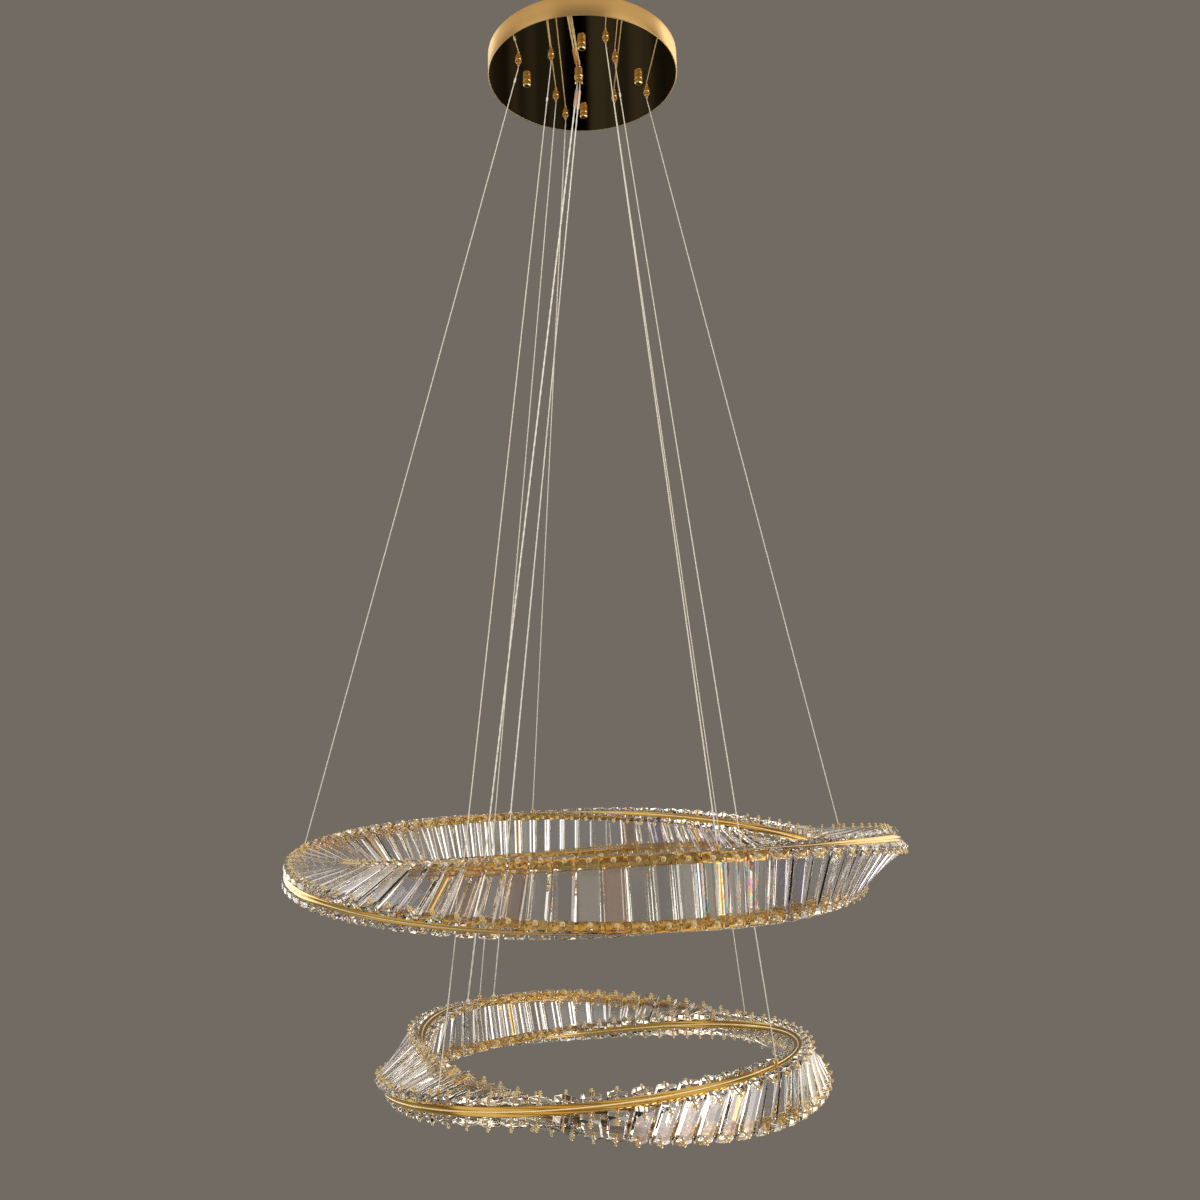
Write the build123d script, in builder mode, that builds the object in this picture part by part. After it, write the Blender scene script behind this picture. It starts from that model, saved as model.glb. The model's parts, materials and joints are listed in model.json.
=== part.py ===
from build123d import *
from math import sin, cos, radians, sqrt
import os

os.makedirs("parts", exist_ok=True)

# ---------------------------------------------------------------------------
# Two-tier twisted-ring crystal chandelier, hanging on wires from a round
# ceiling canopy.  Millimetres.  z = 0 is the ceiling, +Z up, the origin is the
# middle of the ceiling plate, -Y is the side the object is looked at from.
# ---------------------------------------------------------------------------

# ceiling plate and canopy
CEILING_PLATE_R = 105.0
CEILING_PLATE_T = 2.0
CABLE_ENTRY_R = 26.0          # mains entry in the middle of the ceiling plate
FIXING_SPACING = 100.0        # square pattern of four fixing holes
FIXING_HOLE_R = 2.8
STUD_CIRCLE_R = 82.5          # four studs at 0, 90, 180, 270 degrees
STUD_R = 2.5
CANOPY_R = 139.3
CANOPY_WALL = 1.5
CANOPY_H = 30.0
CANOPY_LIP_W = 7.5
CANOPY_LIP_T = 1.2
CANOPY_PLATE_T = 1.5
CAP_NUT_R = 5.6
CAP_NUT_H = 11.0

# cable grippers: wire exit positions in the canopy plate (x, y)
UPPER_EXITS = [(-91.5, -46.7), (33.7, -93.4), (96.0, 36.1), (-28.4, 88.8)]
LOWER_EXITS = [(-44.1, -56.5), (47.4, -47.8), (47.2, 47.1), (-41.4, 40.2)]
GRIPPER_TIP_Z = -41.0         # lower end of the release plunger
GRIPPER_BODY_R = 2.9
PLUNGER_R = 1.8
PLUNGER_STROKE = 2.0
WIRE_R = 0.7
WIRE_BEND_R = 10.0
WIRE_TOP_Z = -21.0

# power cords, through a gland near the middle of the canopy
GLAND_XY = (-5.7, -4.6)
GLAND_BOTTOM_Z = -43.0
THICK_CORD_R = 1.3
THIN_CORD_R = 0.9
CORD_BEND_R = 18.0
SLEEVE_L = 26.0
SLEEVE_WALL = 1.0

# rings: centre, radius of the band's middle line, half width of the band to the
# outer face of the rails, band angle at 0 degrees, turning sense of the twist
# (one full turn per turn of the ring), small lean, number of crystals per face
UPPER = dict(name="upper", centre=(-2.6, -0.5, -1156.5), radius=362.9, half=37.8,
             phase=67.88, sense=1, lean=(1.066, -0.670), count=92, first=-90.7)
LOWER = dict(name="lower", centre=(4.8, 0.4, -1410.2), radius=258.9, half=34.0,
             phase=-34.40, sense=-1, lean=(-1.163, 1.305), count=64, first=-76.4)

# rail: a U channel, its web facing away from the band's middle
RAIL_W = 10.0                 # across the web
RAIL_DEPTH = 11.0
RAIL_WEB_T = 1.5
RAIL_FLANGE_T = 1.2
RAIL_GROOVE_W = 1.4
RAIL_GROOVE_D = 0.5

# crystal bars
CRYSTAL_W = 21.5
CRYSTAL_T = 7.5
CRYSTAL_OVER = 1.0            # past the rail's outer face at each end
CRYSTAL_BACK = 7.0            # back face, from the band's middle surface
CRYSTAL_CORNER = 16.0         # length of the corner facets
CRYSTAL_CORNER_T = 5.2        # thickness left at the corner
CRYSTAL_HOLE_R = 1.1
PIN_FROM_EDGE = 5.5           # from the rail's outer face
PIN_R = 1.0
PAD_R = 3.0
STRUTS = 8
STRUT_T = 2.6
STRUT_W = 3.0
STRUT_FOOT = 2.0              # thickness of the foot that bridges a rail's two flanges

# wire and cord ends on the rings: (angle, rail side, place)
# side +1 is the first rail, -1 the second; place 0 is on top of the rail's web,
# +1 or -1 is on the rail's flange, between two crystals of that face
UPPER_ANCHORS = [(-177.75, -1, 1), (-69.2, 1, 0), (22.8, 1, -1), (107.1, -1, 0)]
LOWER_ANCHORS = [(-129.8, 1, -1), (-42.65, 1, 0), (44.6, -1, 1), (134.4, -1, 0)]
UPPER_INLETS = [(112.9, -1, THIN_CORD_R)]
LOWER_INLETS = [(140.0, -1, THICK_CORD_R), (128.4, -1, THIN_CORD_R)]
ANCHOR_R = 2.0


# ---------------------------------------------------------------------------
# band geometry
# ---------------------------------------------------------------------------
def band_plane(ring, angle, facing="along"):
    """Plane at the band's middle, x across the band towards the first rail.

    facing "along": normal along the ring; "a" / "b": normal out of that face."""
    phi = radians(ring["sense"] * angle + ring["phase"])
    th = radians(angle)
    out = Vector(cos(th), sin(th), 0)
    up = Vector(0, 0, 1)
    along = Vector(-sin(th), cos(th), 0)
    across = out * sin(phi) + up * cos(phi)
    face = out * cos(phi) - up * sin(phi)
    normal = {"along": along, "a": face, "b": face * -1}[facing]
    local = Plane(origin=out * ring["radius"], x_dir=across, z_dir=normal)
    base = Location(ring["centre"], (ring["lean"][0], ring["lean"][1], 0))
    return Plane(base * local.location)


def band_point(ring, angle, d, n):
    """Point at distance d across the band and n out of face a."""
    plane = band_plane(ring, angle)
    return plane.origin + plane.x_dir * d + plane.y_dir * n


def crystal_angles(ring):
    return [ring["first"] + 360.0 * i / ring["count"] for i in range(ring["count"])]


def gap_angle(ring, near):
    """Middle of the gap between two crystals, nearest to an angle."""
    pitch = 360.0 / ring["count"]
    k = round((near - ring["first"]) / pitch - 0.5)
    return ring["first"] + (k + 0.5) * pitch


# ---------------------------------------------------------------------------
# ceiling plate, studs and canopy
# ---------------------------------------------------------------------------
with BuildPart() as ceiling_plate:
    with BuildSketch(Plane.XY.offset(-CEILING_PLATE_T)):
        Circle(CEILING_PLATE_R)
        Circle(CABLE_ENTRY_R, mode=Mode.SUBTRACT)
        with GridLocations(FIXING_SPACING, FIXING_SPACING, 2, 2):
            Circle(FIXING_HOLE_R, mode=Mode.SUBTRACT)
    extrude(amount=CEILING_PLATE_T)
    fillet(ceiling_plate.edges().filter_by(GeomType.CIRCLE).sort_by(SortBy.RADIUS)[-2:], 0.4)

with BuildPart() as canopy_studs:
    with BuildSketch(Plane.XY.offset(-CEILING_PLATE_T)):
        with PolarLocations(STUD_CIRCLE_R, 4):
            Circle(STUD_R)
    extrude(amount=-36.0 + CEILING_PLATE_T)
    chamfer(canopy_studs.faces().filter_by(Axis.Z).group_by(Axis.Z)[0].edges(), 0.5)

with BuildPart() as stud_nuts:
    with BuildSketch(Plane.XY.offset(-CEILING_PLATE_T - 4.0)):
        with PolarLocations(STUD_CIRCLE_R, 4):
            RegularPolygon(radius=4.0, side_count=6, major_radius=False)
            Circle(STUD_R + 0.05, mode=Mode.SUBTRACT)
    extrude(amount=4.0)

with BuildPart() as canopy_rim:
    with BuildSketch(Plane.XZ):
        with BuildLine():
            Polyline((CANOPY_R - CANOPY_WALL, 0), (CANOPY_R, 0), (CANOPY_R, -CANOPY_H),
                     (CANOPY_R - CANOPY_WALL, -CANOPY_H),
                     (CANOPY_R - CANOPY_WALL, -CANOPY_H + CANOPY_PLATE_T),
                     (CANOPY_R - CANOPY_WALL - CANOPY_LIP_W, -CANOPY_H + CANOPY_PLATE_T),
                     (CANOPY_R - CANOPY_WALL - CANOPY_LIP_W,
                      -CANOPY_H + CANOPY_PLATE_T + CANOPY_LIP_T),
                     (CANOPY_R - CANOPY_WALL, -CANOPY_H + CANOPY_PLATE_T + CANOPY_LIP_T),
                     close=True)
        make_face()
    revolve(axis=Axis.Z)
    fillet(canopy_rim.edges().filter_by(GeomType.CIRCLE).group_by(SortBy.RADIUS)[-1]
           .sort_by(Axis.Z)[0], 0.6)

with BuildPart() as canopy_plate:
    with BuildSketch(Plane.XY.offset(-CANOPY_H)):
        Circle(CANOPY_R - CANOPY_WALL - 0.1)
        with PolarLocations(STUD_CIRCLE_R, 4):
            Circle(STUD_R + 0.3, mode=Mode.SUBTRACT)
        with Locations(*[(x, y) for x, y in UPPER_EXITS + LOWER_EXITS]):
            Circle(3.1, mode=Mode.SUBTRACT)
        with Locations(GLAND_XY):
            Circle(5.2, mode=Mode.SUBTRACT)
    extrude(amount=CANOPY_PLATE_T)

# four knurled cap nuts that hold the canopy on the studs
cap_nuts = []
for i in range(4):
    a = radians(90.0 * i)
    centre = Vector(STUD_CIRCLE_R * cos(a), STUD_CIRCLE_R * sin(a), -CANOPY_H)
    with BuildPart() as cap_nut:
        with BuildSketch(Plane(origin=centre, x_dir=(1, 0, 0), z_dir=(0, -1, 0))):
            with BuildLine():
                Line((0, 0), (CAP_NUT_R - 0.4, 0))
                Polyline((CAP_NUT_R - 0.4, 0), (CAP_NUT_R, -0.4), (CAP_NUT_R, -3.6),
                         (CAP_NUT_R - 0.7, -4.1), (CAP_NUT_R - 0.7, -4.7),
                         (CAP_NUT_R, -5.2), (CAP_NUT_R, -CAP_NUT_H + 1.4))
                ThreePointArc((CAP_NUT_R, -CAP_NUT_H + 1.4),
                              (CAP_NUT_R - 1.1, -CAP_NUT_H + 0.3),
                              (CAP_NUT_R - 2.6, -CAP_NUT_H))
                Polyline((CAP_NUT_R - 2.6, -CAP_NUT_H), (0, -CAP_NUT_H), (0, 0))
            make_face()
        revolve(axis=Axis(centre, (0, 0, 1)))
        # blind bore for the stud
        with BuildSketch(Plane(origin=centre, x_dir=(1, 0, 0), z_dir=(0, 0, -1))):
            Circle(STUD_R + 0.05)
        extrude(amount=7.0, mode=Mode.SUBTRACT)
        # knurl on the lower barrel
        with BuildSketch(Plane(origin=centre + Vector(0, 0, -5.4), x_dir=(1, 0, 0),
                               z_dir=(0, 0, -1))):
            with PolarLocations(CAP_NUT_R + 0.1, 20):
                Circle(0.35)
        extrude(amount=4.0, mode=Mode.SUBTRACT)
    cap_nuts.append(cap_nut.part)

# ---------------------------------------------------------------------------
# drivers, terminal block and leads inside the canopy
# ---------------------------------------------------------------------------
INSIDE_Z = -CANOPY_H + CANOPY_PLATE_T


def around(angle, r, t, z):
    a = radians(angle)
    return Vector(r * cos(a) - t * sin(a), r * sin(a) + t * cos(a), z)


def canopy_box_plane(angle, r):
    a = radians(angle)
    return Plane(origin=around(angle, r, 0, INSIDE_Z), x_dir=(-sin(a), cos(a), 0),
                 z_dir=(0, 0, 1))


drivers = []
for angle in (64.0, 244.0):
    with BuildPart() as driver:
        with BuildSketch(canopy_box_plane(angle, 108.0)):
            RectangleRounded(80, 26, 3)
        extrude(amount=18)
        chamfer(driver.faces().sort_by(Axis.Z)[-1].edges(), 1.0)
        # shallow cable tray along the lid
        with BuildSketch(canopy_box_plane(angle, 108.0).offset(18)):
            RectangleRounded(60, 14, 2)
        extrude(amount=-0.8, mode=Mode.SUBTRACT)
    drivers.append(driver.part)

with BuildPart() as terminal_block:
    with BuildSketch(canopy_box_plane(154.0, 80.0)):
        Rectangle(34, 16)
    extrude(amount=14)
    chamfer(terminal_block.edges().filter_by(Axis.Z), 1.0)
    with BuildSketch(canopy_box_plane(154.0, 80.0).offset(14)):
        with GridLocations(9.5, 8.0, 3, 2):
            Circle(1.7)
    extrude(amount=-5.0, mode=Mode.SUBTRACT)

LEAD_R = 1.7
LEAD_Z = -16.5


def tube(path, radius):
    """Round tube along a path of straight runs and tangent arcs."""
    with BuildPart() as run:
        with BuildSketch(Plane(origin=path @ 0, z_dir=path % 0)):
            Circle(radius)
        sweep(path=path)
    return run.part


# mains leads from the terminal block to each driver
p0, p1 = around(154, 80, -17, LEAD_Z - 4), around(64, 108, 40, LEAD_Z - 4)
q0, q1 = around(154, 80, 17, LEAD_Z - 4), around(244, 108, -40, LEAD_Z - 4)
with BuildLine() as mains_a:
    FilletPolyline(p0, around(154, 80, -42, LEAD_Z - 4), around(64, 108, 66, LEAD_Z - 4), p1,
                   radius=14)
with BuildLine() as mains_b:
    FilletPolyline(q0, around(154, 88, 44, LEAD_Z - 4), around(244, 103, -66, LEAD_Z - 4), q1,
                   radius=14)
GLAND = Vector(GLAND_XY[0], GLAND_XY[1], 0)
CORD_OFFSETS = {"thick": Vector(-2.5, 0, 0), "second": Vector(1.4, -2.1, 0),
                "third": Vector(1.4, 2.1, 0)}
out_paths = []
for key, angle, t, lead_r in (("third", 64, 0, THIN_CORD_R), ("thick", 244, -8, THICK_CORD_R),
                              ("second", 244, 8, THIN_CORD_R)):
    start = around(angle, 95, t, LEAD_Z)
    over = GLAND + CORD_OFFSETS[key] + Vector(0, 0, LEAD_Z)
    with BuildLine() as out_path:
        FilletPolyline(start, over, over + Vector(0, 0, WIRE_TOP_Z - LEAD_Z - 1.5), radius=4.5)
    out_paths.append((out_path.wires()[0], lead_r))

with BuildPart() as canopy_leads:
    add(tube(mains_a.wires()[0], LEAD_R))
    add(tube(mains_b.wires()[0], LEAD_R))
    for path, lead_r in out_paths:
        add(tube(path, lead_r))

# ---------------------------------------------------------------------------
# cable grippers
# ---------------------------------------------------------------------------
def gripper_profile(x, y):
    return Plane(origin=(x, y, 0), x_dir=(1, 0, 0), z_dir=(0, -1, 0))


with BuildPart() as cable_grippers:
    for x, y in UPPER_EXITS + LOWER_EXITS:
        with BuildSketch(gripper_profile(x, y)):
            with BuildLine():
                Polyline((1.0, -22), (3.0, -22), (3.0, -30), (4.2, -30), (4.2, -31.0),
                         (3.6, -31.4), (GRIPPER_BODY_R, -31.4), (GRIPPER_BODY_R, -36.6),
                         (GRIPPER_BODY_R - 0.5, -37.2), (PLUNGER_R + 0.05, -37.2),
                         (PLUNGER_R + 0.05, -25.5), (1.0, -25.5), close=True)
            make_face()
        revolve(axis=Axis((x, y, 0), (0, 0, 1)), mode=Mode.ADD)
        # side holes for the lock screws
        with BuildSketch(Plane(origin=(x, y, -33.8), x_dir=(0, 1, 0), z_dir=(1, 0, 0))):
            Circle(0.65)
        extrude(amount=GRIPPER_BODY_R + 1, both=True, mode=Mode.SUBTRACT)

with BuildPart() as gripper_nuts:
    with BuildSketch(Plane.XY.offset(INSIDE_Z)):
        with Locations(*(UPPER_EXITS + LOWER_EXITS)):
            RegularPolygon(radius=4.5, side_count=6, major_radius=False)
            Circle(3.05, mode=Mode.SUBTRACT)
    extrude(amount=2.6)

# lock screws: a plain head on one side, a small cross bar on the other
with BuildPart() as gripper_lock_screws:
    for x, y in UPPER_EXITS + LOWER_EXITS:
        for side in (1, -1):
            start = Plane(origin=(x + side * 1.95, y, -33.8), x_dir=(0, 1, 0),
                          z_dir=(side, 0, 0))
            with BuildSketch(start):
                Circle(0.6)
            extrude(amount=1.4)
            with BuildSketch(start.offset(1.35)):
                Circle(1.2)
            extrude(amount=1.5)
            with BuildSketch(start.offset(1.9)):
                if side > 0:
                    SlotOverall(4.6, 0.9)
                else:
                    SlotOverall(0.9 * 3.2, 0.9, rotation=90)
            extrude(amount=0.9)

plungers = []
for x, y in UPPER_EXITS + LOWER_EXITS:
    with BuildPart() as plunger:
        with BuildSketch(gripper_profile(x, y)):
            with BuildLine():
                Polyline((1.0, -28.0), (PLUNGER_R, -28.0), (PLUNGER_R, -39.6),
                         (1.35, GRIPPER_TIP_Z), (1.0, GRIPPER_TIP_Z), close=True)
            make_face()
        revolve(axis=Axis((x, y, 0), (0, 0, 1)))
    plungers.append(plunger.part)

# ---------------------------------------------------------------------------
# cord gland and its nut
# ---------------------------------------------------------------------------
with BuildPart() as cord_gland:
    with BuildSketch(Plane(origin=(GLAND.X, GLAND.Y, 0), x_dir=(1, 0, 0), z_dir=(0, -1, 0))):
        with BuildLine():
            Polyline((0, -23), (5.0, -23), (5.0, -30), (6.4, -30), (6.4, -31.6), (5.6, -32.0),
                     (5.6, -35.6), (5.0, -36.1), (5.0, -36.7), (5.6, -37.2), (5.6, -41.6),
                     (4.6, GLAND_BOTTOM_Z), (0, GLAND_BOTTOM_Z), close=True)
        make_face()
    revolve(axis=Axis((GLAND.X, GLAND.Y, 0), (0, 0, 1)))
    with BuildSketch(Plane(origin=(GLAND.X, GLAND.Y, -23), z_dir=(0, 0, -1), x_dir=(1, 0, 0))):
        with Locations((CORD_OFFSETS["thick"].X, -CORD_OFFSETS["thick"].Y)):
            Circle(THICK_CORD_R + 0.1)
        with Locations((CORD_OFFSETS["second"].X, -CORD_OFFSETS["second"].Y),
                       (CORD_OFFSETS["third"].X, -CORD_OFFSETS["third"].Y)):
            Circle(THIN_CORD_R + 0.1)
    extrude(amount=21, mode=Mode.SUBTRACT)

with BuildPart() as gland_nut:
    with BuildSketch(Plane.XY.offset(INSIDE_Z)):
        with Locations(GLAND_XY):
            RegularPolygon(radius=8.0, side_count=6, major_radius=False)
            Circle(5.05, mode=Mode.SUBTRACT)
    extrude(amount=3.5)

# ---------------------------------------------------------------------------
# wires and cords: straight down out of the gripper or gland, one tangent bend,
# then one straight taut run to the ring
# ---------------------------------------------------------------------------
def anchor_frame(ring, anchor):
    """Foot and direction of a wire anchor on a ring."""
    angle, side, place = anchor
    if place == 0:
        foot = band_point(ring, angle, side * ring["half"], 0)
        tip = band_point(ring, angle, side * (ring["half"] + 1), 0)
    else:
        angle = gap_angle(ring, angle)
        d = side * (ring["half"] - PIN_FROM_EDGE)
        foot = band_point(ring, angle, d, place * (RAIL_W / 2 - 0.3))
        tip = band_point(ring, angle, d, place * (RAIL_W / 2 + 0.7))
    return foot, (tip - foot).normalized()


def anchor_length(anchor):
    return 3.2 if anchor[2] == 0 else CRYSTAL_BACK + CRYSTAL_T - RAIL_W / 2 + 2.8


def anchor_knob(ring, anchor):
    foot, direction = anchor_frame(ring, anchor)
    return foot + direction * (anchor_length(anchor) + 1.2)


def hanging_path(start_xy, knee_z, top_z, end, end_gap, bend_r):
    """Route from inside the canopy to just short of its end on the ring."""
    knee = Vector(start_xy[0], start_xy[1], knee_z)
    run = end - knee
    stop = knee + run.normalized() * (run.length - end_gap)
    with BuildLine() as route:
        FilletPolyline(Vector(start_xy[0], start_xy[1], top_z), knee, stop, radius=bend_r)
    return route.wires()[0]


def report(name, path, radius, part):
    error = part.volume / (3.141592653589793 * radius ** 2 * path.length) - 1
    print(f"{name}: length {path.length:.1f} mm, volume error {error:.1e}")


wire_parts = {}
for ring, exits, anchors in ((UPPER, UPPER_EXITS, UPPER_ANCHORS),
                             (LOWER, LOWER_EXITS, LOWER_ANCHORS)):
    wires = []
    for exit_xy, anchor in zip(exits, anchors):
        end = anchor_knob(ring, anchor)
        path = hanging_path(exit_xy, GRIPPER_TIP_Z - 2.0, WIRE_TOP_Z, end, 2.6 + 0.3, WIRE_BEND_R)
        wires.append(tube(path, WIRE_R))
        report(ring["name"] + "_wire", path, WIRE_R, wires[-1])
    with BuildPart() as suspension:
        add(wires)
    wire_parts[ring["name"]] = suspension.part

INLET_H = 4.0


def inlet_frame(ring, inlet):
    angle, side, _ = inlet
    foot = band_point(ring, angle, side * ring["half"], 0)
    tip = band_point(ring, angle, side * (ring["half"] + 1), 0)
    return foot, (tip - foot).normalized()


cord_parts = {"upper": [], "lower": []}
sleeve_parts = []
for ring, inlet, key, radius in ((UPPER, UPPER_INLETS[0], "third", THIN_CORD_R),
                                 (LOWER, LOWER_INLETS[0], "thick", THICK_CORD_R),
                                 (LOWER, LOWER_INLETS[1], "second", THIN_CORD_R)):
    foot, direction = inlet_frame(ring, inlet)
    start = GLAND + CORD_OFFSETS[key]
    path = hanging_path((start.X, start.Y), GLAND_BOTTOM_Z - 4.0, WIRE_TOP_Z - 1.5,
                        foot + direction * INLET_H, 0.3 + radius * 0.6, CORD_BEND_R)
    cord = tube(path, radius)
    report(ring["name"] + "_cord_" + key, path, radius, cord)
    cord_parts[ring["name"]].append(cord)
    if key != "second":
        # heat-shrink sleeve on the taut run, just under the gland
        s0 = path.position_at(28.8 / path.length)
        direction = path.tangent_at(0.5)
        with BuildPart() as sleeve:
            with BuildSketch(Plane(origin=s0, z_dir=direction)):
                Circle(radius + SLEEVE_WALL)
                Circle(radius + 0.05, mode=Mode.SUBTRACT)
            extrude(amount=SLEEVE_L)
        sleeve_parts.append(sleeve.part)

with BuildPart() as upper_power_cord:
    add(cord_parts["upper"])
with BuildPart() as lower_power_cords:
    add(cord_parts["lower"])
with BuildPart() as cord_sleeves:
    add(sleeve_parts)


# ---------------------------------------------------------------------------
# rings
# ---------------------------------------------------------------------------
def channel_profile(ring, side):
    h = ring["half"]
    w, f = RAIL_W / 2, RAIL_W / 2 - RAIL_FLANGE_T
    g = RAIL_GROOVE_W / 2
    points = [(h, -w), (h, -g), (h - RAIL_GROOVE_D, -g), (h - RAIL_GROOVE_D, g), (h, g), (h, w),
              (h - RAIL_DEPTH, w), (h - RAIL_DEPTH, f), (h - RAIL_WEB_T, f),
              (h - RAIL_WEB_T, -f), (h - RAIL_DEPTH, -f), (h - RAIL_DEPTH, -w)]
    return [(side * d, n) for d, n in points]


def strip_profile(side, d0, d1, half_w):
    return [(side * d0, -half_w), (side * d1, -half_w), (side * d1, half_w), (side * d0, half_w)]


def twisted_quarters(ring, profile, steps=12):
    """A profile carried once round the twisted band, in four quarter lengths."""
    quarters = []
    for q in range(4):
        with BuildPart() as quarter:
            for i in range(steps + 1):
                with BuildSketch(band_plane(ring, 90.0 * (q + i / steps) - 22.5)):
                    with BuildLine():
                        Polyline(*profile, close=True)
                    make_face()
            loft()
        quarters.append(quarter.part)
    with BuildPart() as whole:
        add(quarters, clean=False)
    if len(whole.part.solids()) != 4:
        return Compound(children=quarters)
    return whole.part


def crystal_bar(ring):
    """One bar: flat face, bevelled long edges, two facets at each end."""
    l2 = ring["half"] + CRYSTAL_OVER
    w2 = CRYSTAL_W / 2
    with BuildPart() as bar:
        with BuildSketch():
            Rectangle(2 * l2, 2 * w2)
        extrude(amount=CRYSTAL_T)
        chamfer(bar.edges().filter_by(Axis.X).group_by(Axis.Z)[-1], length=1.6, length2=2.6)
        for sx in (1, -1):
            for sy in (1, -1):
                a = Vector(sx * (l2 - CRYSTAL_CORNER), sy * w2, CRYSTAL_T)
                b = Vector(sx * l2, 0, CRYSTAL_T)
                c = Vector(sx * l2, sy * w2, CRYSTAL_CORNER_T)
                normal = (b - a).cross(c - a)
                if normal.Z < 0:
                    normal = normal * -1
                split(bisect_by=Plane(origin=a, z_dir=normal), keep=Keep.BOTTOM)
        x = ring["half"] - PIN_FROM_EDGE
        with BuildSketch(Plane.XY.offset(CRYSTAL_T)):
            with Locations((x, 0), (-x, 0)):
                Circle(CRYSTAL_HOLE_R)
        extrude(amount=-CRYSTAL_T, mode=Mode.SUBTRACT)
    return bar.part


def crystal_pin(ring):
    """Pin with a flat collar, a neck with a short cross bar and a round tip; z = 0 is the
    crystal's front face."""
    depth = CRYSTAL_T + CRYSTAL_BACK - RAIL_W / 2 + 1.0
    with BuildPart() as pin:
        with BuildSketch(Plane.XZ):
            with BuildLine():
                Polyline((0, -depth), (PIN_R, -depth), (PIN_R, 0), (2.9, 0), (2.9, 0.5),
                         (2.3, 0.9), (1.15, 0.9), (1.15, 4.0), (1.5, 4.5), (0.9, 5.4),
                         (0, 5.4), close=True)
            make_face()
        revolve(axis=Axis.Z)
        with BuildSketch(Plane.XY.offset(2.2)):
            Rectangle(1.1, 5.6)
        extrude(amount=1.1)
    return pin.part


def crystal_pad():
    """Soft washer between a rail's flange and a crystal; z = 0 is the crystal's back face."""
    with BuildPart() as pad:
        with BuildSketch(Plane.XY.offset(-(CRYSTAL_BACK - RAIL_W / 2) - 0.25)):
            Circle(PAD_R)
            Circle(PIN_R + 0.1, mode=Mode.SUBTRACT)
        extrude(amount=CRYSTAL_BACK - RAIL_W / 2 + 0.25)
    return pad.part


def placed(piece, planes):
    with BuildPart() as group:
        with Locations(*[plane.location for plane in planes]):
            add(piece, clean=False)
    return group.part


def strut_angles(ring):
    return [gap_angle(ring, ring["first"] + 20 + 360.0 * i / STRUTS) for i in range(STRUTS)]


nodes = []
for ring, anchors, inlets in ((UPPER, UPPER_ANCHORS, UPPER_INLETS),
                              (LOWER, LOWER_ANCHORS, LOWER_INLETS)):
    name, h = ring["name"], ring["half"]

    nodes.append((name + "_rail_a", twisted_quarters(ring, channel_profile(ring, 1))))
    nodes.append((name + "_rail_b", twisted_quarters(ring, channel_profile(ring, -1))))

    light = []
    cover = []
    for side in (1, -1):
        light += twisted_quarters(ring, strip_profile(side, h - 1.8, h - 2.8, 3.2)).solids()
        cover += twisted_quarters(ring, strip_profile(side, h - 8.6, h - 10.6, 3.5)).solids()
    with BuildPart() as led_strips:
        add(light, clean=False)
    with BuildPart() as diffusers:
        add(cover, clean=False)
    nodes.append((name + "_led_strips", led_strips.part))
    nodes.append((name + "_diffusers", diffusers.part))

    # struts between the two rails
    with BuildPart() as struts:
        for angle in strut_angles(ring):
            with BuildSketch(band_plane(ring, angle).offset(-STRUT_T / 2)):
                Rectangle(2 * (h - RAIL_DEPTH), RAIL_W)
                Rectangle(2 * (h - RAIL_DEPTH - STRUT_FOOT), RAIL_W, mode=Mode.SUBTRACT)
                Rectangle(2 * (h - RAIL_DEPTH - STRUT_FOOT) + 1, STRUT_W)
            extrude(amount=STRUT_T)
    nodes.append((name + "_struts", struts.part))

    # crystals, pins and pads
    bar, pin, pad = crystal_bar(ring), crystal_pin(ring), crystal_pad()
    x = h - PIN_FROM_EDGE
    pins, pads = [], []
    for face in ("a", "b"):
        backs = [band_plane(ring, angle, face).offset(CRYSTAL_BACK)
                 for angle in crystal_angles(ring)]
        nodes.append((name + "_crystals_" + face, placed(bar, backs)))
        for plane in backs:
            for side in (1, -1):
                foot = plane.origin + plane.x_dir * (side * x)
                pads.append(Plane(origin=foot, x_dir=plane.x_dir, z_dir=plane.z_dir))
                pins.append(Plane(origin=foot + plane.z_dir * CRYSTAL_T, x_dir=plane.x_dir,
                                  z_dir=plane.z_dir))
    nodes.append((name + "_crystal_pins", placed(pin, pins)))
    nodes.append((name + "_crystal_pads", placed(pad, pads)))

    # wire anchors: a post with a round head
    with BuildPart() as wire_anchors:
        for anchor in anchors:
            foot, direction = anchor_frame(ring, anchor)
            with BuildSketch(Plane(origin=foot, z_dir=direction)):
                Circle(ANCHOR_R)
            extrude(amount=anchor_length(anchor))
            with Locations(anchor_knob(ring, anchor)):
                Sphere(2.6)
    nodes.append((name + "_wire_anchors", wire_anchors.part))

    # cord inlets on the web
    with BuildPart() as cord_inlets:
        for inlet in inlets:
            foot, direction = inlet_frame(ring, inlet)
            with BuildSketch(Plane(origin=foot, z_dir=direction)):
                Circle(inlet[2] + 2.0)
            extrude(amount=INLET_H - 1.2)
            with BuildSketch(Plane(origin=foot + direction * (INLET_H - 1.2),
                                   z_dir=direction)) as inlet_top:
                Circle(inlet[2] + 1.2)
            extrude(amount=1.2)
    nodes.append((name + "_cord_inlets", cord_inlets.part))

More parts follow.
